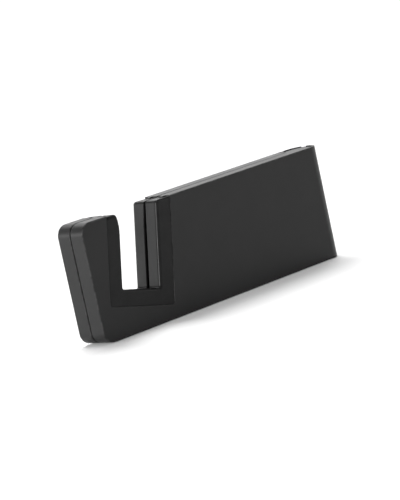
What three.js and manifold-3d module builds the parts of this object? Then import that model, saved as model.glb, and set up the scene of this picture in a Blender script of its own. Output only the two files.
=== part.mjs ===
// A folding pocket phone stand, shown closed, standing on its long lower edge.
//
// Two flat arms lie face to face and open like a V about a vertical pin at one end. Near the
// other end each arm has a leaning U-shaped slot with a soft liner, and a phone rests on the
// two slot floors when the arms are open.
//
// Millimetres, +Z up. X runs from the slot end (-X) to the hinge end (+X). The front arm is on
// the -Y side, the rear arm on the +Y side, and Z = 0 is the surface the stand rests on.

import * as THREE from "three";
import { mergeVertices } from "three/addons/utils/BufferGeometryUtils.js";
import Module from "manifold-3d";

const wasm = await Module();
wasm.setup();

// Overall size of the closed stand, without the grip pads.
const LENGTH = 120;
const BODY_HEIGHT = 40;
const THICKNESS = 12;
const PAD_PROUD = 0.3; // how far the grip pads stand out of the lower edge
const GAP = 0.3; // space between pieces that are fitted together
const SEAM_HALF = GAP / 2; // from the middle plane to each arm's inner face

const SLOT_END = -LENGTH / 2;
const HINGE_END = LENGTH / 2;
const BOTTOM = PAD_PROUD;
const TOP = BOTTOM + BODY_HEIGHT;
const ARM_THICKNESS = THICKNESS / 2 - SEAM_HALF;
const SLOT_END_CORNER = 4; // outline radius at the slot end
const FRONT = -1;
const REAR = 1;

// The slot leans towards the hinge. Across and up are measured along and square to its floor.
const SLOT_LEAN = THREE.MathUtils.degToRad(13);
const SLOT_FLOOR_X = SLOT_END + 21;
const SLOT_FLOOR_Z = BOTTOM + 13.4;
const SLOT_HALF = 8.3; // half the clear width
const SLOT_CORNER = 0.8; // radius at the two ends of the floor
const POCKET_HALF = 14.55; // half the width of the shell's pocket for the liner
const POCKET_FLOOR = 5.65; // from the slot floor down to the pocket's floor
const POCKET_CORNER = 1;
const PAST_TOP = 34; // slot height that passes the top edge of the arm
const LINER_FACE_INSET = 0.1; // the liner lies this much below the outer face
const LINER_SEAM_INSET = 0.3; // and this much below the seam face
const LINER_TOP_DROP = 0.35;
const TONGUE_HEIGHT = 1.25; // rib of the shell that holds the liner
const TONGUE_FROM = 2.2; // depths of the rib's two sides below the outer face
const TONGUE_TO = 3.7;
const LEAD_IN_RADIUS = 14; // rounding of the slot's mouth on the slot-end side
const LEAD_IN_HEIGHT = 9;
const MOUTH_CORNER = 1.3; // radius where that rounding meets the liner's top

// The panel that closes the hollow of each arm, on the seam side.
const SKIN = 1.5; // outer wall under the hollow
const PANEL_THICKNESS = 1.6;
const PANEL_SEAT = ARM_THICKNESS - PANEL_THICKNESS - GAP; // depth of the ledge it sits on
const PANEL_EDGE = 2.2; // shell rim around the panel's recess
const PANEL_RIGHT = 46.2;
const PANEL_CORNER = 2;
const LEDGE = 1.2;
const SCREW_INSET = 4.2; // from the recess's sides to the screws
const BOSS_RADIUS = 2.3;
const PILOT_RADIUS = 1.1;
const PILOT_FLOOR = 2;
const SCREW_HEAD_RADIUS = 1.7;
const SCREW_HEAD_HEIGHT = 0.7;
const SCREW_SHANK_RADIUS = 0.8;
const SCREW_LENGTH = 3;
const HEAD_SEAT = 0.8; // depth of the recess for the head in the panel

// The hinge. The front arm has a full-round barrel at its top and bottom, the rear arm has one
// smaller knuckle between them, and a pin holds all three with a friction washer at each joint.
const END_RADIUS = THICKNESS / 2;
const HINGE_X = HINGE_END - END_RADIUS;
const BARREL_HEIGHT = 11.7;
const LOW_BARREL_TOP = BOTTOM + BARREL_HEIGHT;
const HIGH_BARREL_FOOT = TOP - BARREL_HEIGHT;
const KNUCKLE_RADIUS = 4.2;
const WASHER_THICKNESS = 1;
const WASHER_RADIUS = 4;
const KNUCKLE_FOOT = LOW_BARREL_TOP + WASHER_THICKNESS + 2 * GAP;
const KNUCKLE_TOP = HIGH_BARREL_FOOT - WASHER_THICKNESS - 2 * GAP;
const STOP_ANGLE = THREE.MathUtils.degToRad(82); // how far the rear arm's round end is cut back
const PIN_RADIUS = 1.5;
const PIN_CLEARANCE = 0.09;
const BORE_RADIUS = PIN_RADIUS + PIN_CLEARANCE;
const PIN_HEAD_RADIUS = 2.4;
const PIN_HEAD_HEIGHT = 0.8;
const RETAINER_RADIUS = 2.6;
const RETAINER_THICKNESS = 0.6;
const PIN_FOOT = BOTTOM + 1.2;
const RETAINER_SEAT = PIN_FOOT + RETAINER_THICKNESS + 2 * GAP;

// The cap that hides the pin's head, sunk in the top of the upper barrel.
const CAP_RADIUS = 4.9;
const CAP_THICKNESS = 0.8;
const CAP_SINK = 0.3; // how far the cap lies below the arm's top
const CAP_TOP = TOP - CAP_SINK;
const CAP_SEAT = CAP_TOP - CAP_THICKNESS - GAP; // floor of the cap's recess
const PIN_TOP = CAP_SEAT;
const PIN_HEAD_SEAT = PIN_TOP - PIN_HEAD_HEIGHT - GAP;
const NOTCH_FROM = THREE.MathUtils.degToRad(8); // the notch in the recess's rim, to lift the cap
const NOTCH_TO = THREE.MathUtils.degToRad(29);

const PAD_LENGTH = 14;
const PAD_WIDTH = 3.4;
const PAD_THICKNESS = 0.8;
const PAD_CENTRES = [SLOT_END + 17, HINGE_END - 22];
const PAD_OFFSET = SEAM_HALF + ARM_THICKNESS / 2; // from the middle plane

const ROUND_SEGMENTS = 32;
const SCREW_SEGMENTS = 20;
const ARC_SEGMENTS = 6;
const ROUND_END_SEGMENTS = 12;

// Materials, one for each kind of piece.
const arm = { color: 0x202122, roughness: 0.45, metalness: 0 };
const panel = { color: 0x252627, roughness: 0.6, metalness: 0 };
const softRubber = { color: 0x17181a, roughness: 0.85, metalness: 0 };
const steel = { color: 0x9a9c9f, roughness: 0.35, metalness: 1 };
const acetal = { color: 0xd8d6cf, roughness: 0.5, metalness: 0 };

// A manifold-3d solid of a closed three.js geometry.
function solidOf(geometry) {
  const plain = geometry.index ? geometry.clone() : mergeVertices(geometry);
  plain.deleteAttribute("normal");
  plain.deleteAttribute("uv");
  const merged = mergeVertices(plain, 1e-4);
  return new wasm.Manifold(
    new wasm.Mesh({
      numProp: 3,
      vertProperties: merged.attributes.position.array,
      triVerts: new Uint32Array(merged.index.array),
    }),
  );
}

// The three.js mesh of a solid or a geometry, with a material of its own.
function namedMesh(name, shape, finish) {
  let geometry = shape;
  if (!shape.isBufferGeometry) {
    const { vertProperties, triVerts } = shape.getMesh();
    geometry = new THREE.BufferGeometry();
    geometry.setAttribute("position", new THREE.BufferAttribute(vertProperties, 3));
    geometry.setIndex(new THREE.BufferAttribute(triVerts, 1));
    geometry.computeVertexNormals();
  }
  const mesh = new THREE.Mesh(geometry, new THREE.MeshStandardMaterial(finish));
  mesh.name = name;
  return mesh;
}

// A closed outline through the corner points, each corner rounded to its own radius.
function roundedOutline(corners) {
  const shape = new THREE.Shape();
  corners.forEach(({ point, radius = 0 }, i) => {
    const before = corners.at(i - 1).point.clone().sub(point).normalize();
    const after = corners[(i + 1) % corners.length].point.clone().sub(point).normalize();
    const move = i === 0 ? "moveTo" : "lineTo";
    if (!radius) {
      shape[move](point.x, point.y);
      return;
    }
    const half = Math.acos(before.dot(after)) / 2;
    const start = point.clone().addScaledVector(before, radius / Math.tan(half));
    const end = point.clone().addScaledVector(after, radius / Math.tan(half));
    const inward = before.clone().add(after).normalize();
    const centre = point.clone().addScaledVector(inward, radius / Math.sin(half));
    shape[move](start.x, start.y);
    const from = start.sub(centre).angle();
    const to = end.sub(centre).angle();
    shape.absarc(centre.x, centre.y, radius, from, to, before.cross(after) > 0);
  });
  shape.closePath();
  return shape;
}

// A solid with an outline in the XZ plane, between two Y planes.
function slab(outline, y1, y2) {
  const depth = Math.abs(y2 - y1);
  const options = { depth, bevelEnabled: false, curveSegments: ARC_SEGMENTS };
  const geometry = new THREE.ExtrudeGeometry(outline, options);
  geometry.rotateX(Math.PI / 2).translate(0, Math.max(y1, y2), 0);
  return solidOf(geometry);
}

// A solid with an outline in the XY plane, between two Z planes.
function column(outline, z1, z2, curveSegments = ARC_SEGMENTS) {
  const options = { depth: z2 - z1, bevelEnabled: false, curveSegments };
  return solidOf(new THREE.ExtrudeGeometry(outline, options).translate(0, 0, z1));
}

// A round bar on the hinge axis.
function hingeRod(radius, z1, z2) {
  const geometry = new THREE.CylinderGeometry(radius, radius, z2 - z1, ROUND_SEGMENTS);
  geometry.rotateX(Math.PI / 2).translate(HINGE_X, 0, (z1 + z2) / 2);
  return solidOf(geometry);
}

// A round bar across an arm, square to its faces.
function crossRod(radius, x, z, y1, y2) {
  const geometry = new THREE.CylinderGeometry(radius, radius, Math.abs(y2 - y1), SCREW_SEGMENTS);
  return solidOf(geometry.translate(x, (y1 + y2) / 2, z));
}

// The Y of a plane at a depth below the outer face of the front or rear arm.
function below(side, depth) {
  return side * (THICKNESS / 2 - depth);
}

// A point given across and up the leaning slot, from the middle of its floor.
function inSlot(across, up) {
  const lean = new THREE.Vector2(across, up).rotateAround(new THREE.Vector2(), -SLOT_LEAN);
  return lean.add(new THREE.Vector2(SLOT_FLOOR_X, SLOT_FLOOR_Z));
}

// The X at height z of the line that runs beside the slot at a distance from its middle.
function besideSlot(distance, z) {
  return SLOT_FLOOR_X + distance / Math.cos(SLOT_LEAN) + (z - SLOT_FLOOR_Z) * Math.tan(SLOT_LEAN);
}

// The outline of an arm seen from the front, left open-ended past the round hinge end.
function armOutline() {
  return roundedOutline([
    { point: new THREE.Vector2(SLOT_END, BOTTOM), radius: SLOT_END_CORNER },
    { point: new THREE.Vector2(HINGE_END + 1, BOTTOM) },
    { point: new THREE.Vector2(HINGE_END + 1, TOP) },
    { point: new THREE.Vector2(SLOT_END, TOP), radius: SLOT_END_CORNER },
  ]);
}

// The outline of one arm seen from above: straight sides and a quarter-round hinge end. With a
// barrel, the round end carries on about the hinge axis until it is back at the seam.
function armPlan(side, withBarrel) {
  const seam = Math.asin(SEAM_HALF / END_RADIUS);
  const plan = new THREE.Shape();
  plan.moveTo(SLOT_END - 1, side * SEAM_HALF);
  plan.lineTo(SLOT_END - 1, (side * THICKNESS) / 2);
  plan.lineTo(HINGE_X, (side * THICKNESS) / 2);
  plan.absarc(HINGE_X, 0, END_RADIUS, (side * Math.PI) / 2, side * seam, side > 0);
  if (withBarrel) {
    plan.absarc(HINGE_X, 0, END_RADIUS, side * seam, -side * (Math.PI + seam), side > 0);
  }
  plan.closePath();
  return plan;
}

// A sector about the hinge axis, seen from above, that reaches well past the round end.
function sector(from, to) {
  const reach = 2 * END_RADIUS;
  const wedge = new THREE.Shape();
  wedge.moveTo(HINGE_X, 0);
  wedge.lineTo(HINGE_X + reach * Math.cos(from), reach * Math.sin(from));
  wedge.absarc(HINGE_X, 0, reach, from, to, false);
  wedge.closePath();
  return wedge;
}

// The pocket for the liner, a leaning rectangle that is open at the top.
function pocketOutline(shrink) {
  const half = POCKET_HALF - shrink;
  const floor = -POCKET_FLOOR + shrink;
  return roundedOutline([
    { point: inSlot(-half, floor), radius: POCKET_CORNER },
    { point: inSlot(half, floor), radius: POCKET_CORNER },
    { point: inSlot(half, PAST_TOP) },
    { point: inSlot(-half, PAST_TOP) },
  ]);
}

// The liner's U, inside a pocket that is shrunk by the fitting gap and more.
function linerOutline(shrink) {
  const half = POCKET_HALF - GAP - shrink;
  const floor = -POCKET_FLOOR + GAP + shrink;
  return roundedOutline([
    { point: inSlot(-half, PAST_TOP) },
    { point: inSlot(-half, floor), radius: POCKET_CORNER },
    { point: inSlot(half, floor), radius: POCKET_CORNER },
    { point: inSlot(half, PAST_TOP) },
    { point: inSlot(SLOT_HALF, PAST_TOP) },
    { point: inSlot(SLOT_HALF, 0), radius: SLOT_CORNER },
    { point: inSlot(-SLOT_HALF, 0), radius: SLOT_CORNER },
    { point: inSlot(-SLOT_HALF, PAST_TOP) },
  ]);
}

// What is cut away to round the slot's mouth on the slot-end side: outside a long arc, which
// turns into the liner's top by a small one.
function leadInOutline() {
  const mouth = (TOP - SLOT_FLOOR_Z) / Math.cos(SLOT_LEAN);
  const start = mouth - LEAD_IN_HEIGHT;
  const long = inSlot(-SLOT_HALF - LEAD_IN_RADIUS, start);
  const rise = TOP - LINER_TOP_DROP - MOUTH_CORNER - long.y;
  const run = Math.sqrt((LEAD_IN_RADIUS - MOUTH_CORNER) ** 2 - rise ** 2);
  const short = new THREE.Vector2(long.x + run, long.y + rise);
  const turn = Math.atan2(rise, run);
  const outline = new THREE.Shape();
  outline.absarc(long.x, long.y, LEAD_IN_RADIUS, -SLOT_LEAN, turn, false);
  outline.absarc(short.x, short.y, MOUTH_CORNER, turn, Math.PI / 2, false);
  outline.lineTo(short.x, TOP + 1);
  const tip = inSlot(0, PAST_TOP);
  outline.lineTo(tip.x, tip.y);
  const foot = inSlot(0, start);
  outline.lineTo(foot.x, foot.y);
  outline.closePath();
  return outline;
}

// The recess of the panel, or a smaller outline inside it.
function panelOutline(inset) {
  const low = BOTTOM + PANEL_EDGE + inset;
  const high = TOP - PANEL_EDGE - inset;
  const beside = POCKET_HALF + PANEL_EDGE + inset;
  const right = PANEL_RIGHT - inset;
  const corners = [
    new THREE.Vector2(besideSlot(beside, low), low),
    new THREE.Vector2(right, low),
    new THREE.Vector2(right, high),
    new THREE.Vector2(besideSlot(beside, high), high),
  ];
  return roundedOutline(corners.map((point) => ({ point, radius: PANEL_CORNER })));
}

// The four places of the panel's screws.
function screwPlaces() {
  const low = BOTTOM + PANEL_EDGE + SCREW_INSET;
  const high = TOP - PANEL_EDGE - SCREW_INSET;
  const beside = POCKET_HALF + PANEL_EDGE + SCREW_INSET;
  const right = PANEL_RIGHT - SCREW_INSET;
  return [
    { x: besideSlot(beside, low), z: low },
    { x: besideSlot(beside, high), z: high },
    { x: right, z: low },
    { x: right, z: high },
  ];
}

// A long round-ended outline in the XY plane, under one arm.
function padOutline(centreX, side, grow) {
  const half = PAD_WIDTH / 2 + grow;
  const y = side * PAD_OFFSET;
  const run = PAD_LENGTH / 2 - PAD_WIDTH / 2;
  const outline = new THREE.Shape();
  outline.absarc(centreX + run, y, half, -Math.PI / 2, Math.PI / 2, false);
  outline.absarc(centreX - run, y, half, Math.PI / 2, (3 * Math.PI) / 2, false);
  outline.closePath();
  return outline;
}

// The front arm's end: room for the rear knuckle, the pin's bore, and the seats at its two ends.
function frontHinge(body) {
  const notch = column(sector(NOTCH_FROM, NOTCH_TO), CAP_TOP, TOP + 1);
  return body
    .subtract(hingeRod(KNUCKLE_RADIUS + GAP, LOW_BARREL_TOP, HIGH_BARREL_FOOT))
    .subtract(hingeRod(BORE_RADIUS, BOTTOM - 1, TOP + 1))
    .subtract(hingeRod(CAP_RADIUS + GAP, CAP_SEAT, TOP + 1))
    .subtract(hingeRod(PIN_HEAD_RADIUS + GAP, PIN_HEAD_SEAT, CAP_TOP))
    .subtract(hingeRod(RETAINER_RADIUS + GAP, BOTTOM - 1, RETAINER_SEAT))
    .subtract(notch);
}

// The rear arm's end: cut back round the two barrels and the washers, with its own knuckle.
function rearHinge(body) {
  const barrelRoom = END_RADIUS + GAP;
  const washerRoom = WASHER_RADIUS + GAP;
  return body
    .subtract(hingeRod(barrelRoom, BOTTOM - 1, LOW_BARREL_TOP + GAP))
    .subtract(hingeRod(barrelRoom, HIGH_BARREL_FOOT - GAP, TOP + 1))
    .subtract(column(sector(-STOP_ANGLE, STOP_ANGLE), BOTTOM - 1, TOP + 1))
    .subtract(hingeRod(washerRoom, LOW_BARREL_TOP, KNUCKLE_FOOT))
    .subtract(hingeRod(washerRoom, KNUCKLE_TOP, HIGH_BARREL_FOOT))
    .add(hingeRod(KNUCKLE_RADIUS, KNUCKLE_FOOT, KNUCKLE_TOP))
    .subtract(hingeRod(BORE_RADIUS, BOTTOM, TOP));
}

// One arm's moulded shell.
function shell(side) {
  let body = column(armPlan(side, false), LOW_BARREL_TOP, HIGH_BARREL_FOOT, ROUND_END_SEGMENTS);
  for (const [low, high] of [
    [BOTTOM - 1, LOW_BARREL_TOP],
    [HIGH_BARREL_FOOT, TOP + 1],
  ]) {
    body = body.add(column(armPlan(side, side === FRONT), low, high, ROUND_END_SEGMENTS));
  }
  body = body.intersect(slab(armOutline(), -THICKNESS, THICKNESS));

  // The pocket for the liner, with a rib left standing in the middle of its depth.
  const tongueFrom = below(side, TONGUE_FROM);
  const tongueTo = below(side, TONGUE_TO);
  body = body.subtract(slab(pocketOutline(0), below(side, -1), tongueFrom));
  body = body.subtract(slab(pocketOutline(TONGUE_HEIGHT), tongueFrom, tongueTo));
  body = body.subtract(slab(pocketOutline(0), tongueTo, 0));

  // The hollow behind the panel, the panel's recess, and the screw bosses.
  const seat = below(side, PANEL_SEAT);
  body = body.subtract(slab(panelOutline(0), seat, 0));
  body = body.subtract(slab(panelOutline(LEDGE), below(side, SKIN), seat));
  for (const { x, z } of screwPlaces()) {
    body = body.add(crossRod(BOSS_RADIUS, x, z, below(side, SKIN / 2), seat));
    body = body.subtract(crossRod(PILOT_RADIUS, x, z, below(side, PILOT_FLOOR), 0));
  }

  body = side === FRONT ? frontHinge(body) : rearHinge(body);

  // The shallow pockets that hold the grip pads.
  for (const centreX of PAD_CENTRES) {
    const roof = PAD_THICKNESS + GAP;
    body = body.subtract(column(padOutline(centreX, side, GAP), BOTTOM - 1, roof));
  }
  return body;
}

// The flat panel that closes the hollow, with seats for four screw heads.
function cover(side) {
  const inner = side * SEAM_HALF;
  const outer = below(side, PANEL_SEAT + GAP);
  let plate = slab(panelOutline(GAP), outer, inner);
  for (const { x, z } of screwPlaces()) {
    plate = plate.subtract(crossRod(SCREW_SHANK_RADIUS + GAP, x, z, outer - 1, outer + 1));
    const seat = inner + side * (HEAD_SEAT + GAP);
    plate = plate.subtract(crossRod(SCREW_HEAD_RADIUS + GAP, x, z, 0, seat));
  }
  return plate;
}

// The soft U-shaped lining of one slot, grooved all round to grip the shell's rib.
function liner(side) {
  const outer = below(side, LINER_FACE_INSET);
  const inner = side * (SEAM_HALF + LINER_SEAM_INSET);
  let lining = slab(linerOutline(TONGUE_HEIGHT), outer, inner);
  lining = lining.add(slab(linerOutline(0), outer, below(side, TONGUE_FROM - GAP)));
  lining = lining.add(slab(linerOutline(0), below(side, TONGUE_TO + GAP), inner));
  const crop = roundedOutline([
    { point: new THREE.Vector2(SLOT_END, BOTTOM) },
    { point: new THREE.Vector2(0, BOTTOM) },
    { point: new THREE.Vector2(0, TOP - LINER_TOP_DROP) },
    { point: new THREE.Vector2(SLOT_END, TOP - LINER_TOP_DROP) },
  ]);
  lining = lining.intersect(slab(crop, below(side, -1), 0));
  return lining.subtract(slab(leadInOutline(), below(side, -1), 0));
}

// A body of revolution about a local Y axis, from its profile of radius and height.
function turned(profile, segments) {
  const points = profile.map(([radius, height]) => new THREE.Vector2(radius, height));
  return new THREE.LatheGeometry(points, segments);
}

// A small thin-headed screw. Its local origin is the head's outer face.
function screwGeometry() {
  const profile = [
    [0, -SCREW_HEAD_HEIGHT - SCREW_LENGTH],
    [SCREW_SHANK_RADIUS, -SCREW_HEAD_HEIGHT - SCREW_LENGTH],
    [SCREW_SHANK_RADIUS, -SCREW_HEAD_HEIGHT],
    [SCREW_HEAD_RADIUS, -SCREW_HEAD_HEIGHT],
    [SCREW_HEAD_RADIUS, 0],
    [0, 0],
  ];
  return turned(profile, SCREW_SEGMENTS);
}

// A flat ring. Its local origin is the middle of its lower face.
function ringGeometry(innerRadius, outerRadius, thickness) {
  const profile = [
    [innerRadius, 0],
    [outerRadius, 0],
    [outerRadius, thickness],
    [innerRadius, thickness],
    [innerRadius, 0],
  ];
  return turned(profile, ROUND_SEGMENTS);
}

// The headed hinge pin. Its local origin is the middle of its lower end.
function pinGeometry(length) {
  const profile = [
    [0, 0],
    [PIN_RADIUS, 0],
    [PIN_RADIUS, length - PIN_HEAD_HEIGHT],
    [PIN_HEAD_RADIUS, length - PIN_HEAD_HEIGHT],
    [PIN_HEAD_RADIUS, length],
    [0, length],
  ];
  return turned(profile, ROUND_SEGMENTS);
}

// The flat cap. Its local origin is the middle of its lower face.
function capGeometry() {
  const profile = [
    [0, 0],
    [CAP_RADIUS, 0],
    [CAP_RADIUS, CAP_THICKNESS],
    [0, CAP_THICKNESS],
  ];
  return turned(profile, ROUND_SEGMENTS);
}

// One arm with everything that is fixed to it.
function buildArm(side, name) {
  const group = new THREE.Group();
  group.add(namedMesh(`${name}_shell`, shell(side), arm));
  group.add(namedMesh(`${name}_cover`, cover(side), panel));
  group.add(namedMesh(`${name}_liner`, liner(side), softRubber));
  screwPlaces().forEach(({ x, z }, i) => {
    const screw = namedMesh(`${name}_cover_screw_${i + 1}`, screwGeometry(), steel);
    screw.position.set(x, side * (SEAM_HALF + HEAD_SEAT - SCREW_HEAD_HEIGHT), z);
    screw.rotation.x = side > 0 ? Math.PI : 0;
    group.add(screw);
  });
  PAD_CENTRES.forEach((centreX, i) => {
    const pad = column(padOutline(centreX, side, 0), 0, PAD_THICKNESS);
    group.add(namedMesh(`${name}_grip_pad_${i + 1}`, pad, softRubber));
  });
  return group;
}

// The pin, its retaining ring, the two friction washers and the cap, all on the hinge axis.
function buildHinge() {
  const retainer = ringGeometry(BORE_RADIUS, RETAINER_RADIUS, RETAINER_THICKNESS);
  const washer = ringGeometry(BORE_RADIUS, WASHER_RADIUS, WASHER_THICKNESS);
  const pieces = [
    ["hinge_pin", pinGeometry(PIN_TOP - PIN_FOOT), steel, PIN_FOOT],
    ["pin_retainer", retainer, steel, PIN_FOOT + GAP],
    ["lower_friction_washer", washer, acetal, LOW_BARREL_TOP + GAP],
    ["upper_friction_washer", washer.clone(), acetal, KNUCKLE_TOP + GAP],
    ["hinge_cap", capGeometry(), arm, CAP_TOP - CAP_THICKNESS],
  ];
  const hinge = new THREE.Group();
  hinge.position.x = HINGE_X;
  for (const [name, geometry, finish, z] of pieces) {
    const piece = namedMesh(name, geometry, finish);
    piece.position.z = z;
    piece.rotation.x = Math.PI / 2;
    hinge.add(piece);
  }
  return hinge;
}

const stand = new THREE.Group();
stand.add(buildArm(FRONT, "front"));
stand.add(buildArm(REAR, "rear"));
stand.add(buildHinge());

export default stand;
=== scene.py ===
"""The looks of a folding pocket phone stand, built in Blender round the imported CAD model.

Metres, +Z up, in the frame of the CAD. The stand is closed and stands on its long lower edge. X runs from
the slot end to the hinge end, and the front arm is on the -Y side.

Each CAD node gets a finished piece in its place. The shells, liners, covers and grip pads are the CAD
shapes with moulded, rounded edges. The screws and the round parts of the hinge are turned afresh, with the
detail that the CAD leaves out, such as the cross recess in the screw heads.
"""

import math

import bmesh
import bpy
from mathutils import Matrix, Vector


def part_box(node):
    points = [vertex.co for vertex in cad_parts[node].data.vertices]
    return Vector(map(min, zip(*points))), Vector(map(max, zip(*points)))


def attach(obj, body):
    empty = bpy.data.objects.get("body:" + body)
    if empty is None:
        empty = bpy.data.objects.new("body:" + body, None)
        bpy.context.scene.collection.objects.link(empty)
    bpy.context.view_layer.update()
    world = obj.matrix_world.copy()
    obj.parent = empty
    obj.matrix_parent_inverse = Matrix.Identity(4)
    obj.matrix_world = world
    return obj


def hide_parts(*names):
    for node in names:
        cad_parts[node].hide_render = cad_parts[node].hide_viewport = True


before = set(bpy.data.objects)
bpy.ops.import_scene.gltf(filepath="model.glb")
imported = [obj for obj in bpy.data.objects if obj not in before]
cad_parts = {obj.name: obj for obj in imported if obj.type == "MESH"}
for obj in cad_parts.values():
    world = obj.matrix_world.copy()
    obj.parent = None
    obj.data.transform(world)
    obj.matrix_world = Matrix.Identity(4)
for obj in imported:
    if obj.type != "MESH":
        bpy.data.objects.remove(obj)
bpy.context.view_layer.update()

MM = 0.001

# The view: the photograph's, fitted to the corners of the stand.
VIEW_CENTRE = Vector((0, 0, 20.3 * MM))
VIEW_AZIMUTH = math.radians(-44.41)
VIEW_ELEVATION = math.radians(8.03)
VIEW_ROLL = math.radians(-12.15)
VIEW_DISTANCE = 0.88264
VIEW_RIGHT = -2.04 * MM  # how far the middle of the picture is from VIEW_CENTRE
VIEW_UP = -3.05 * MM
LENS = 187.2  # millimetres, for the 36 mm sensor
NEAREST = 0.01
FURTHEST = 200

# Places that the edges of the CAD shapes are known by.
OUTER_FACE = 6 * MM  # from the middle plane
SEAM_FACE = 0.15 * MM
TOP = 40.3 * MM
SAME = 0.02 * MM  # closer than this is the same place

# The slot leans towards the hinge. Across is measured square to its middle line, up from its floor.
SLOT_LEAN = math.radians(13)
SLOT_FLOOR_X = -39 * MM
SLOT_FLOOR_Z = 13.7 * MM
POCKET_HALF = 14.55 * MM
POCKET_FLOOR = 5.65 * MM
LINER_HALF = 14.25 * MM
LINER_FACE = 5.9 * MM  # from the middle plane to the liner's outer face
LINER_SEAM_FACE = 0.45 * MM
LINER_TOP = TOP - 0.35 * MM
LINER_FLOOR = 5.35 * MM  # from the slot's floor down to the liner's foot
LINER_CORNER = 1.2 * MM  # more than the radius of the liner's outer corners
LINER_PRESS = 0.26 * MM  # CAD leaves a gap of 0.3 mm round the liner, which the soft rubber really fills

# How much each kind of edge is rounded.
SHELL_ROUND = 0.5 * MM
SHELL_SEAM_ROUND = 0.5 * MM
POCKET_ROUND = 0.15 * MM
LINER_ROUND = 1.2 * MM
LINER_SEAM_ROUND = 0.4 * MM
LINER_RIM_ROUND = 0.12 * MM
LINER_MOUTH_ROUND = 0.8 * MM
PANEL_ROUND = 0.2 * MM
PAD_ROUND = 0.3 * MM
LINER_SEGMENTS = 6  # facets across a liner's rounding

# The cover screws.
COVER_SCREWS = 4  # in each cover
SCREW_TURNS = (0.3, 1.1, 0.7, 1.4)  # how far round each of them was driven, in radians
SCREW_HEAD_RADIUS = 1.7 * MM
SCREW_HEAD_HEIGHT = 0.7 * MM
SCREW_SHANK_RADIUS = 0.8 * MM
SCREW_CORE = 0.58 * MM  # radius at the foot of the thread
SCREW_LENGTH = 3 * MM
SCREW_SIDES = 48
TIP_HEIGHT = 0.3 * MM  # of the taper at the end of the shank
TIP_SHARE = 0.6  # the end's radius, as a share of the shank's
NECK_HEIGHT = 0.3 * MM  # of the plain shank under the head
THREAD_PITCH = 0.6 * MM
THREAD_STEPS = 60  # along the shank
HEAD_SHOULDER = 0.25 * MM  # from the head's face down to where its dome starts
HEAD_FACE_SHARE = 0.75  # radius of the flat of the head, as a share of the head's
HEAD_FOOT_ROUND = 0.08 * MM
HEAD_SHOULDER_ROUND = 0.2 * MM
HEAD_FACE_ROUND = 0.3 * MM
RECESS_HALF_SPAN = 0.95 * MM
RECESS_HALF_WIDTH = 0.24 * MM
RECESS_DEPTH = 0.5 * MM
RECESS_TAPER = 0.55  # size of the recess at its foot, as a share of its size at the face

GRIP_PADS = 2  # under each arm

# The round parts of the hinge.
PIN_RADIUS = 1.5 * MM
PIN_HEAD_RADIUS = 2.4 * MM
PIN_HEAD_HEIGHT = 0.8 * MM
PIN_TIP_ROUND = 0.3 * MM
PIN_NECK_ROUND = 0.05 * MM
PIN_HEAD_ROUND = 0.25 * MM
BORE_RADIUS = 1.59 * MM
WASHER_ROUND = 0.15 * MM
RETAINER_ROUND = 0.08 * MM
CAP_FOOT_ROUND = 0.05 * MM
CAP_RIM_ROUND = 0.2 * MM

# Mesh work.
FLAT_ANGLE = math.radians(0.5)  # faces that meet at less are one face
EDGE_ANGLE = math.radians(30)  # faces that meet at more have an edge between them
MERGE = 0.001 * MM  # CAD points closer than this are one
POLE_MERGE = 0.0001 * MM  # the same, for the points of a turned body that meet on its axis

# The sockets of a colour Mix node, which share their names with its number sockets.
MIX_FIRST = 6
MIX_SECOND = 7
MIX_RESULT = 2

# Wear of the plastic's and the rubber's rounded edges, with a painted highlight in the plastic's lighter
# edges, and the specks on the rubber.
# The plastic's rounded edges are painted lighter, partly as wear and partly as a painted edge highlight.
WEAR_AND_HIGHLIGHT_LIGHTER = 2.2  # times the plastic's lighter tone
WORN_SMOOTHER = 0.09  # taken off the plastic's roughness
RUBBED_SMOOTHER = 0.14  # taken off the rubber's
SPECK_LIGHTER = 1.8  # times the rubber's lighter tone

# The studio.
FLOOR_SIZE = 60
SWEEP_GLOW = 2.4
ROOM_GLOW = 0.35
SWEEP_SIDE = (-0.3, 0.5)  # the sweep grows from none to full between these Y of a direction
SWEEP_HEIGHT = (0.1, 0.5)  # and fades again between these Z
KEY_STRENGTH = 3.0
KEY_SPREAD = math.radians(38)  # how wide the key looks from the stand
KEY_FROM = Vector((0.35, 0.5, 1))
STAND_MIDDLE = (0, 0, 20 * MM)
HINGE_END = (60 * MM, 0, 20 * MM)
SOFTBOXES = (  # name, place, what it points at, width, height, power
    ("left_softbox", (-1.4, -0.3, 0.34), STAND_MIDDLE, 0.36, 0.36, 19),
    ("back_left_softbox", (-1, 1, 0.25), STAND_MIDDLE, 0.8, 0.4, 4.5),
    ("right_card", (0.25, -0.2, 0.15), HINGE_END, 0.15, 0.15, 0.12),
)


def place_camera():
    """The scene's camera, with a long lens, turned so that the stand leans as it does in the photograph."""
    forward = Vector((
        -math.sin(VIEW_AZIMUTH) * math.cos(VIEW_ELEVATION),
        math.cos(VIEW_AZIMUTH) * math.cos(VIEW_ELEVATION),
        -math.sin(VIEW_ELEVATION),
    ))
    level = Vector((math.cos(VIEW_AZIMUTH), math.sin(VIEW_AZIMUTH), 0))
    upright = level.cross(forward)
    right = level * math.cos(VIEW_ROLL) + upright * math.sin(VIEW_ROLL)
    up = upright * math.cos(VIEW_ROLL) - level * math.sin(VIEW_ROLL)
    camera = bpy.data.objects.new("camera", bpy.data.cameras.new("camera"))
    camera.data.lens = LENS
    camera.data.clip_start = NEAREST
    camera.data.clip_end = FURTHEST
    camera.matrix_world = Matrix((right, up, -forward)).transposed().to_4x4()
    camera.location = VIEW_CENTRE + right * VIEW_RIGHT + up * VIEW_UP - forward * VIEW_DISTANCE
    bpy.context.scene.collection.objects.link(camera)
    bpy.context.scene.camera = camera


# Materials


def feed(tree, socket, value):
    """Gives a socket its value, which is another node's output or a constant."""
    if isinstance(value, bpy.types.NodeSocket):
        tree.links.new(value, socket)
    else:
        socket.default_value = value


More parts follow.
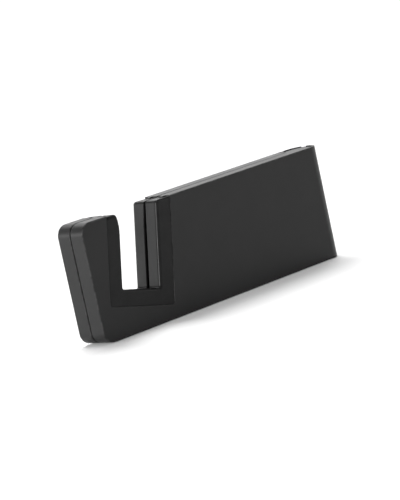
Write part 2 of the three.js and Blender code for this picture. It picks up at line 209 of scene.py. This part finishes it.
def map_range(tree, source, low, high, to_low, to_high, smooth=False):
    """source, from low..high, mapped to to_low..to_high and held there."""
    node = tree.nodes.new("ShaderNodeMapRange")
    node.clamp = True
    if smooth:
        node.interpolation_type = "SMOOTHSTEP"
    feed(tree, node.inputs["Value"], source)
    for name, value in (("From Min", low), ("From Max", high), ("To Min", to_low), ("To Max", to_high)):
        feed(tree, node.inputs[name], value)
    return node.outputs["Result"]


class Nodes:
    """A material's node tree, with short calls for the nodes used here."""

    def __init__(self, name):
        self.material = bpy.data.materials.new(name)
        self.material.use_nodes = True
        self.tree = self.material.node_tree
        self.shader = self.tree.nodes["Principled BSDF"]
        self.place = self.tree.nodes.new("ShaderNodeTexCoord").outputs["Object"]

    def give(self, name, value):
        """Sets one of the shader's own sockets."""
        feed(self.tree, self.shader.inputs[name], value)

    def noise(self, feature, detail=2.0, roughness=0.5):
        """Noise with features of that size in metres, from 0 to 1."""
        node = self.tree.nodes.new("ShaderNodeTexNoise")
        feed(self.tree, node.inputs["Vector"], self.place)
        node.inputs["Scale"].default_value = 1 / feature
        node.inputs["Detail"].default_value = detail
        node.inputs["Roughness"].default_value = roughness
        return node.outputs["Fac"]

    def cells(self, feature):
        """Distance to the nearest of many scattered points, for a pitted grain."""
        node = self.tree.nodes.new("ShaderNodeTexVoronoi")
        feed(self.tree, node.inputs["Vector"], self.place)
        node.inputs["Scale"].default_value = 1 / feature
        return node.outputs["Distance"]

    def attribute(self, name):
        """A number stored on the mesh's points."""
        node = self.tree.nodes.new("ShaderNodeAttribute")
        node.attribute_name = name
        return node.outputs["Fac"]

    def compute(self, operation, first, second):
        """A sum, difference or product of two numbers or outputs."""
        node = self.tree.nodes.new("ShaderNodeMath")
        node.operation = operation
        feed(self.tree, node.inputs[0], first)
        feed(self.tree, node.inputs[1], second)
        return node.outputs[0]

    def spread(self, source, low, high, to_low, to_high):
        """source, from low..high, mapped to to_low..to_high and held there."""
        return map_range(self.tree, source, low, high, to_low, to_high)

    def mix(self, share, first, second):
        """A colour from first to second as share goes from 0 to 1. Each is a grey or an output."""
        node = self.tree.nodes.new("ShaderNodeMix")
        node.data_type = "RGBA"
        feed(self.tree, node.inputs["Factor"], share)
        for place, value in ((MIX_FIRST, first), (MIX_SECOND, second)):
            colour = (value, value, value, 1) if isinstance(value, float) else value
            feed(self.tree, node.inputs[place], colour)
        return node.outputs[MIX_RESULT]

    def bump(self, height, depth, under=None):
        """Relief of that depth in metres, over the relief under it."""
        node = self.tree.nodes.new("ShaderNodeBump")
        node.inputs["Distance"].default_value = depth
        feed(self.tree, node.inputs["Height"], height)
        if under is not None:
            feed(self.tree, node.inputs["Normal"], under)
        self.give("Normal", node.outputs["Normal"])
        return node.outputs["Normal"]


def moulded_plastic(name, dark, light, roughness, grain, depth, specular):
    """Black plastic from a spark-eroded mould: a fine even grain, faint smears, and rounded edges rubbed
    smoother and painted lighter, partly as wear and partly as a painted highlight.
    """
    m = Nodes(name)
    smear = m.noise(14 * MM, detail=4)
    tone = m.mix(m.spread(smear, 0.3, 0.7, 0, 1), dark, light)
    patchy = m.spread(m.noise(1.6 * MM, detail=5), 0.42, 0.62, 0, 1)
    # Rounded edges, in patches: painted lighter, partly wear and partly a painted highlight, and made
    # smoother.
    worn_and_highlit = m.compute("MULTIPLY", m.attribute("edge"), patchy)
    m.give("Base Color", m.mix(worn_and_highlit, tone, light * WEAR_AND_HIGHLIGHT_LIGHTER))
    dull = m.spread(smear, 0.3, 0.7, roughness - 0.03, roughness + 0.03)
    m.give("Roughness", m.compute("SUBTRACT", dull, m.compute("MULTIPLY", worn_and_highlit, WORN_SMOOTHER)))
    fine = m.bump(m.noise(grain, detail=3, roughness=0.6), depth)
    m.bump(m.cells(grain * 2.4), depth * 0.6, under=fine)
    m.give("Specular IOR Level", specular)
    return m.material


def rubber(name, dark, light, roughness, specular):
    """Soft black rubber: dull, with a powdery bloom and a few lint-sized specks."""
    m = Nodes(name)
    bloom = m.noise(5 * MM, detail=5, roughness=0.6)
    tone = m.mix(m.spread(bloom, 0.35, 0.7, 0, 1), dark, light)
    speck = m.spread(m.noise(0.35 * MM, detail=1), 0.72, 0.78, 0, 1)
    m.give("Base Color", m.mix(speck, tone, light * SPECK_LIGHTER))
    rubbed = m.compute("MULTIPLY", m.attribute("edge"), m.noise(2 * MM, detail=4))
    dull = m.spread(bloom, 0.3, 0.7, roughness - 0.05, roughness + 0.04)
    m.give("Roughness", m.compute("SUBTRACT", dull, m.compute("MULTIPLY", rubbed, RUBBED_SMOOTHER)))
    m.bump(m.noise(0.16 * MM, detail=3, roughness=0.65), 0.012 * MM)
    m.give("Specular IOR Level", specular)
    return m.material


def turned_steel(name):
    """Bright steel with fine tool marks and faint stains."""
    m = Nodes(name)
    stain = m.noise(1.5 * MM, detail=4)
    m.give("Base Color", m.mix(m.spread(stain, 0.35, 0.75, 0, 1), 0.5, 0.36))
    m.give("Roughness", m.spread(stain, 0.3, 0.7, 0.26, 0.4))
    m.bump(m.noise(0.12 * MM, detail=4, roughness=0.7), 0.006 * MM)
    m.give("Metallic", 1)
    return m.material


def washer_plastic(name):
    """Off-white acetal, slightly waxy, with a grey rub of wear."""
    m = Nodes(name)
    rub = m.noise(0.8 * MM, detail=4)
    m.give("Base Color", m.mix(m.spread(rub, 0.45, 0.8, 0, 1), 0.72, 0.5))
    m.give("Roughness", m.spread(rub, 0.3, 0.7, 0.38, 0.52))
    m.bump(m.noise(0.1 * MM, detail=2), 0.004 * MM)
    m.give("Subsurface Weight", 0.15)
    m.give("Subsurface Scale", 0.4 * MM)
    return m.material


def floor_finish(name):
    """Pale matte card."""
    m = Nodes(name)
    m.give("Base Color", m.mix(m.noise(30 * MM, detail=3), 0.84, 0.86))
    m.give("Roughness", m.spread(m.noise(6 * MM), 0.3, 0.7, 0.9, 1))
    m.bump(m.noise(0.4 * MM, detail=2), 0.01 * MM)
    m.give("Specular IOR Level", 0)
    return m.material


# Mesh work


def finished(piece, material, body, node):
    """Gives a piece its material, and puts it in the place of that CAD node."""
    piece.data.materials.clear()
    piece.data.materials.append(material)
    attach(piece, body)
    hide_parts(node)


def new_piece(name, bm):
    """A new object in the scene, with the bmesh as its mesh."""
    mesh = bpy.data.meshes.new(name)
    bm.to_mesh(mesh)
    bm.free()
    piece = bpy.data.objects.new(name, mesh)
    bpy.context.scene.collection.objects.link(piece)
    return piece


def bake_modifiers(piece):
    """Makes the shape that the piece's modifiers give its own mesh."""
    bpy.context.view_layer.update()
    evaluated = piece.evaluated_get(bpy.context.evaluated_depsgraph_get())
    mesh = bpy.data.meshes.new_from_object(evaluated)
    piece.modifiers.clear()
    piece.data = mesh


def smooth(piece):
    """Smooth shading that keeps the flat faces flat."""
    piece.data.shade_smooth()
    piece.data.set_sharp_from_angle(angle=EDGE_ANGLE)
    normals = piece.modifiers.new("normals", "WEIGHTED_NORMAL")
    normals.keep_sharp = True
    normals.weight = 100
    bake_modifiers(piece)


def cad_shape(node, moved=None):
    """A copy of a CAD node's shape, with each flat face in one piece. moved(point) gives a point's new
    place, where a piece is fitted closer than in CAD."""
    bm = bmesh.new()
    bm.from_mesh(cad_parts[node].data)
    bmesh.ops.remove_doubles(bm, verts=bm.verts, dist=MERGE)
    if moved:
        for vertex in bm.verts:
            vertex.co = moved(vertex.co)
    bmesh.ops.dissolve_limit(bm, angle_limit=FLAT_ANGLE, verts=bm.verts, edges=bm.edges)
    bm.normal_update()
    return bm


def mark_rounded(mesh):
    """Stores "edge", 1 on the points inside a rounded edge and 0 elsewhere, for wear and for the painted
    highlight on the plastic's edges.
    """
    inside = [1.0] * len(mesh.vertices)
    for polygon in mesh.polygons:
        if polygon.material_index == 0:
            for vertex in polygon.vertices:
                inside[vertex] = 0.0
        polygon.material_index = 0
    layer = mesh.attributes.new("edge", "FLOAT", "POINT")
    layer.data.foreach_set("value", inside)


def rounded(node, name, radius_at, segments=4, moved=None):
    """A copy of a CAD node whose outside edges are rounded. radius_at(edge) is an edge's radius in metres."""
    bm = cad_shape(node, moved)
    radii = []
    for edge in bm.edges:
        outside = len(edge.link_faces) == 2 and edge.calc_face_angle_signed(0) > EDGE_ANGLE
        radii.append(radius_at(edge) if outside else 0.0)
    widest = max(radii)
    piece = new_piece(name, bm)
    weights = piece.data.attributes.new("bevel_weight_edge", "FLOAT", "EDGE")
    weights.data.foreach_set("value", [radius / widest for radius in radii])
    for _ in range(2):  # the second material slot tells the rounding's faces from the others
        piece.data.materials.append(None)
    bevel = piece.modifiers.new("rounding", "BEVEL")
    bevel.limit_method = "WEIGHT"
    bevel.offset_type = "OFFSET"
    bevel.width = widest
    bevel.segments = segments
    bevel.use_clamp_overlap = False
    bevel.loop_slide = False
    bevel.material = 1
    bake_modifiers(piece)
    mark_rounded(piece.data)
    smooth(piece)
    return piece


# The edges of the moulded pieces


def on_plane(edge, axis, value):
    """True if both ends of the edge are on the plane where the coordinate on that axis is value."""
    return all(abs(vertex.co[axis] - value) < SAME for vertex in edge.verts)


def in_slot(point):
    """A point's place across the leaning slot, from its middle line, and up it, from its floor."""
    x, z = point.x - SLOT_FLOOR_X, point.z - SLOT_FLOOR_Z
    return (
        x * math.cos(SLOT_LEAN) - z * math.sin(SLOT_LEAN),
        x * math.sin(SLOT_LEAN) + z * math.cos(SLOT_LEAN),
    )


def middle(edge):
    """The point half way along an edge."""
    return (edge.verts[0].co + edge.verts[1].co) / 2


def shell_radius(side):
    """The rounding of a shell: its outer face, its edge along the seam, and the rim of the liner's pocket."""

    def radius_at(edge):
        across, up = in_slot(middle(edge))
        round_pocket = abs(across) < POCKET_HALF + SAME and up > -POCKET_FLOOR - SAME
        at_top = on_plane(edge, 2, TOP)
        if on_plane(edge, 1, side * OUTER_FACE):
            return POCKET_ROUND if round_pocket and not at_top else SHELL_ROUND
        if on_plane(edge, 1, side * SEAM_FACE):
            return SHELL_SEAM_ROUND
        return 0.0

    return radius_at


def pressed_in(point):
    """A liner's point, with its outer sides and foot pressed against the walls of the pocket."""
    across, up = in_slot(point)
    push = Vector((0, 0, 0))
    if abs(across) > LINER_HALF - LINER_CORNER:
        push += Vector((math.cos(SLOT_LEAN), 0, -math.sin(SLOT_LEAN))) * math.copysign(LINER_PRESS, across)
    if up < -LINER_FLOOR + LINER_CORNER:
        push -= Vector((math.sin(SLOT_LEAN), 0, math.cos(SLOT_LEAN))) * LINER_PRESS
    return point + push


def liner_radius(side):
    """The rounding of a liner: full along the slot and over the top, small where it meets the pocket."""

    def radius_at(edge):
        across, up = in_slot(middle(edge))
        at_pocket = abs(across) > LINER_HALF - LINER_CORNER or up < -LINER_FLOOR + LINER_CORNER
        at_top = on_plane(edge, 2, LINER_TOP)
        if on_plane(edge, 1, side * LINER_FACE):
            return LINER_RIM_ROUND if at_pocket and not at_top else LINER_ROUND
        if on_plane(edge, 1, side * LINER_SEAM_FACE):
            return 0.0 if at_pocket and not at_top else LINER_SEAM_ROUND
        return LINER_MOUTH_ROUND if at_top and not at_pocket else 0.0

    return radius_at


def panel_radius(side):
    """The rounding of a cover: the rim and the screw seats on its seam side."""

    def radius_at(edge):
        return PANEL_ROUND if on_plane(edge, 1, side * SEAM_FACE) else 0.0

    return radius_at


def pad_radius(edge):
    """The rounding of a grip pad, on the side that it stands on."""
    return PAD_ROUND if on_plane(edge, 2, 0) else 0.0


# Turned parts


def rounded_profile(corners, steps=5):
    """A profile of (radius, height) points from corners (radius, height, rounding), all in metres."""
    points = []
    for i, (r, z, rounding) in enumerate(corners):
        here = Vector((r, z))
        if not rounding:
            points.append(here)
            continue
        before = (Vector(corners[i - 1][:2]) - here).normalized()
        after = (Vector(corners[(i + 1) % len(corners)][:2]) - here).normalized()
        half = before.angle(after) / 2
        start = here + before * rounding / math.tan(half)
        finish = here + after * rounding / math.tan(half)
        centre = here + (before + after).normalized() * rounding / math.sin(half)
        for step in range(steps + 1):
            arm = (start - centre).lerp(finish - centre, step / steps)
            points.append(centre + arm.normalized() * rounding)
    return points


def turned(name, corners, ring=False, segments=96):
    """A body turned about its own Z axis. A ring's profile closes on itself, any other starts and ends on
    the axis."""
    points = rounded_profile(corners)
    bm = bmesh.new()
    columns = []
    for k in range(segments):
        angle = 2 * math.pi * k / segments
        turn = (math.cos(angle), math.sin(angle))
        columns.append([bm.verts.new((p.x * turn[0], p.x * turn[1], p.y)) for p in points])
    pairs = list(zip(range(len(points)), range(1, len(points))))
    if ring:
        pairs.append((len(points) - 1, 0))
    for k in range(segments):
        here, after = columns[k], columns[(k + 1) % segments]
        for low, high in pairs:
            bm.faces.new((here[low], after[low], after[high], here[high]))
    bmesh.ops.remove_doubles(bm, verts=bm.verts, dist=POLE_MERGE)
    bmesh.ops.recalc_face_normals(bm, faces=bm.faces)
    piece = new_piece(name, bm)
    smooth(piece)
    return piece


def cut(piece, tool):
    """Cuts the tool away from the piece, and removes the tool."""
    boolean = piece.modifiers.new("cut", "BOOLEAN")
    boolean.operation = "DIFFERENCE"
    boolean.solver = "EXACT"
    boolean.object = tool
    bake_modifiers(piece)
    bpy.data.objects.remove(tool)
    smooth(piece)


def cross_recess():
    """A cross with walls that taper to its foot, for the recess of a screw head. The face is at Z = 0."""
    quarter = (
        (RECESS_HALF_SPAN, RECESS_HALF_WIDTH),
        (RECESS_HALF_WIDTH, RECESS_HALF_WIDTH),
        (RECESS_HALF_WIDTH, RECESS_HALF_SPAN),
    )
    outline = [Matrix.Rotation(k * math.pi / 2, 2) @ Vector(corner) for k in range(4) for corner in quarter]
    bm = bmesh.new()
    low, high = (
        [bm.verts.new((point.x * grow, point.y * grow, z)) for point in outline]
        for z, grow in ((-RECESS_DEPTH, RECESS_TAPER), (RECESS_DEPTH / 2, 1 + (1 - RECESS_TAPER) / 2))
    )
    bm.faces.new(low[::-1])
    bm.faces.new(high)
    for k in range(len(outline)):
        after = (k + 1) % len(outline)
        bm.faces.new((low[k], low[after], high[after], high[k]))
    return new_piece("recess", bm)


def wind_thread(mesh, foot, top):
    """Winds a thread on a screw's shank between two heights, by moving each point of it in or out."""
    for vertex in mesh.vertices:
        x, y, z = vertex.co
        radius = math.hypot(x, y)
        if not foot < z < top or radius < SCREW_CORE:
            continue
        phase = (z / THREAD_PITCH - math.atan2(y, x) / (2 * math.pi)) % 1
        ridge = max(0.0, 1 - abs(phase - 0.5) * 4)  # half a pitch wide at its foot
        fade = min(1.0, (z - foot) / THREAD_PITCH, (top - z) / THREAD_PITCH)
        scale = (SCREW_CORE + (SCREW_SHANK_RADIUS - SCREW_CORE) * ridge * fade) / radius
        vertex.co.x *= scale
        vertex.co.y *= scale


def screw(name):
    """A thin-headed screw with a cross recess and a coarse thread. Its head's outer face is at Z = 0, and
    it points down."""
    tip = -SCREW_HEAD_HEIGHT - SCREW_LENGTH
    shank_foot = tip + TIP_HEIGHT
    corners = [(0, tip, 0), (SCREW_SHANK_RADIUS * TIP_SHARE, tip, 0)]
    for k in range(THREAD_STEPS):
        height = shank_foot + (SCREW_LENGTH - TIP_HEIGHT) * k / THREAD_STEPS
        corners.append((SCREW_SHANK_RADIUS, height, 0))
    corners += [
        (SCREW_SHANK_RADIUS, -SCREW_HEAD_HEIGHT, 0),
        (SCREW_HEAD_RADIUS, -SCREW_HEAD_HEIGHT, HEAD_FOOT_ROUND),
        (SCREW_HEAD_RADIUS, -HEAD_SHOULDER, HEAD_SHOULDER_ROUND),
        (SCREW_HEAD_RADIUS * HEAD_FACE_SHARE, 0, HEAD_FACE_ROUND),
        (0, 0, 0),
    ]
    piece = turned(name, corners, segments=SCREW_SIDES)
    wind_thread(piece.data, tip, -SCREW_HEAD_HEIGHT - NECK_HEIGHT)
    cut(piece, cross_recess())
    return piece


def set_screw(piece, node, side, turn):
    """Puts a screw in the place of its CAD node, with its head on the arm's seam side."""
    low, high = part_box(node)
    head_face = low.y if side > 0 else high.y
    place = Matrix.Translation(((low.x + high.x) / 2, head_face, (low.z + high.z) / 2))
    facing = Matrix.Rotation(side * math.pi / 2, 4, "X") @ Matrix.Rotation(turn, 4, "Z")
    piece.matrix_world = place @ facing


def build_arm(side, name):
    """One arm's visible pieces: its shell, liner, cover, screws and grip pads."""
    body = name + "_arm"
    shell = rounded(name + "_shell", name + "_shell_moulding", shell_radius(side))
    finished(shell, ARM_PLASTIC, body, name + "_shell")
    liner = rounded(
        name + "_liner", name + "_liner_moulding", liner_radius(side), LINER_SEGMENTS, pressed_in
    )
    finished(liner, RUBBER, body, name + "_liner")
    cover = rounded(name + "_cover", name + "_cover_panel", panel_radius(side))
    finished(cover, PANEL_PLASTIC, body, name + "_cover")
    for i in range(COVER_SCREWS):
        node = f"{name}_cover_screw_{i + 1}"
        piece = screw(node + "_threaded")
        set_screw(piece, node, side, SCREW_TURNS[i])
        finished(piece, STEEL, body, node)
    for i in range(GRIP_PADS):
        node = f"{name}_grip_pad_{i + 1}"
        pad = rounded(node, node + "_moulding", pad_radius)
        finished(pad, RUBBER, body, node)


def hinge_piece(node, suffix, material, profile, ring=False):
    """A turned part of the hinge, from its profile. The node's foot is at height 0 of the profile."""
    low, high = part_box(node)
    piece = turned(node + suffix, profile, ring)
    piece.location = ((low.x + high.x) / 2, (low.y + high.y) / 2, low.z)
    finished(piece, material, "front_arm", node)


def size_of(node):
    """The radius and the height of a round CAD node that stands upright."""
    low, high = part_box(node)
    return (high.x - low.x) / 2, high.z - low.z


def ring_profile(node, rounding):
    """The profile of a flat ring on the hinge pin, of a CAD node's size."""
    outer, height = size_of(node)
    corners = ((BORE_RADIUS, 0), (outer, 0), (outer, height), (BORE_RADIUS, height))
    return [(radius, z, rounding) for radius, z in corners]


def build_hinge():
    """The pin, its retaining ring, the two friction washers and the cap."""
    _, length = size_of("hinge_pin")
    head_foot = length - PIN_HEAD_HEIGHT
    hinge_piece("hinge_pin", "_turned", STEEL, [
        (0, 0, 0),
        (PIN_RADIUS, 0, PIN_TIP_ROUND),
        (PIN_RADIUS, head_foot, 0),
        (PIN_HEAD_RADIUS, head_foot, PIN_NECK_ROUND),
        (PIN_HEAD_RADIUS, length, PIN_HEAD_ROUND),
        (0, length, 0),
    ])
    for node in ("lower_friction_washer", "upper_friction_washer"):
        profile = ring_profile(node, WASHER_ROUND)
        hinge_piece(node, "_turned", ACETAL, profile, ring=True)
    profile = ring_profile("pin_retainer", RETAINER_ROUND)
    hinge_piece("pin_retainer", "_pressed", STEEL, profile, ring=True)
    radius, height = size_of("hinge_cap")
    hinge_piece("hinge_cap", "_moulding", ARM_PLASTIC, [
        (0, 0, 0),
        (radius, 0, CAP_FOOT_ROUND),
        (radius, height, CAP_RIM_ROUND),
        (0, height, 0),
    ])


# The studio


def softbox(name, place, target, width, height, power):
    """A rectangular light that points at target, and that the camera doesn't see."""
    data = bpy.data.lights.new(name, "AREA")
    data.shape = "RECTANGLE"
    data.size = width
    data.size_y = height
    data.energy = power
    light = bpy.data.objects.new(name, data)
    light.location = place
    light.visible_camera = False
    light.rotation_euler = (Vector(target) - Vector(place)).to_track_quat("-Z", "Y").to_euler()
    bpy.context.scene.collection.objects.link(light)


def overhead_key():
    """A broad key light from above and behind."""
    key = bpy.data.objects.new("overhead_key", bpy.data.lights.new("overhead_key", "SUN"))
    key.data.energy = KEY_STRENGTH
    key.data.angle = KEY_SPREAD
    key.rotation_euler = KEY_FROM.to_track_quat("Z", "Y").to_euler()
    bpy.context.scene.collection.objects.link(key)


def build_floor():
    """A plain pale floor."""
    bpy.ops.mesh.primitive_plane_add(size=FLOOR_SIZE)
    floor = bpy.context.active_object
    floor.name = "floor"
    floor.data.materials.append(floor_finish("floor"))


def build_surround():
    """A dim room, with a white sweep that glows low down behind the stand."""
    world = bpy.data.worlds.new("studio")
    world.use_nodes = True
    tree = world.node_tree
    background = tree.nodes["Background"]
    background.inputs["Color"].default_value = (1, 1, 1, 1)
    direction = tree.nodes.new("ShaderNodeTexCoord")
    parts = tree.nodes.new("ShaderNodeSeparateXYZ")
    feed(tree, parts.inputs[0], direction.outputs["Generated"])
    behind = map_range(tree, parts.outputs["Y"], *SWEEP_SIDE, ROOM_GLOW, SWEEP_GLOW, smooth=True)
    strength = map_range(tree, parts.outputs["Z"], *SWEEP_HEIGHT, behind, ROOM_GLOW, smooth=True)
    feed(tree, background.inputs["Strength"], strength)
    bpy.context.scene.world = world


place_camera()

ARM_PLASTIC = moulded_plastic(
    "arm_plastic", dark=0.012, light=0.015, roughness=0.42, grain=0.16 * MM, depth=0.01 * MM, specular=0.19
)
PANEL_PLASTIC = moulded_plastic(
    "panel_plastic", dark=0.014, light=0.019, roughness=0.55, grain=0.28 * MM, depth=0.02 * MM, specular=0.3
)
RUBBER = rubber("soft_rubber", dark=0.008, light=0.012, roughness=0.38, specular=0.12)
STEEL = turned_steel("steel")
ACETAL = washer_plastic("washer_plastic")

for side, name in ((-1, "front"), (1, "rear")):
    build_arm(side, name)
build_hinge()

build_floor()
build_surround()
overhead_key()
for lamp in SOFTBOXES:
    softbox(*lamp)
bpy.context.scene.view_settings.view_transform = "Standard"
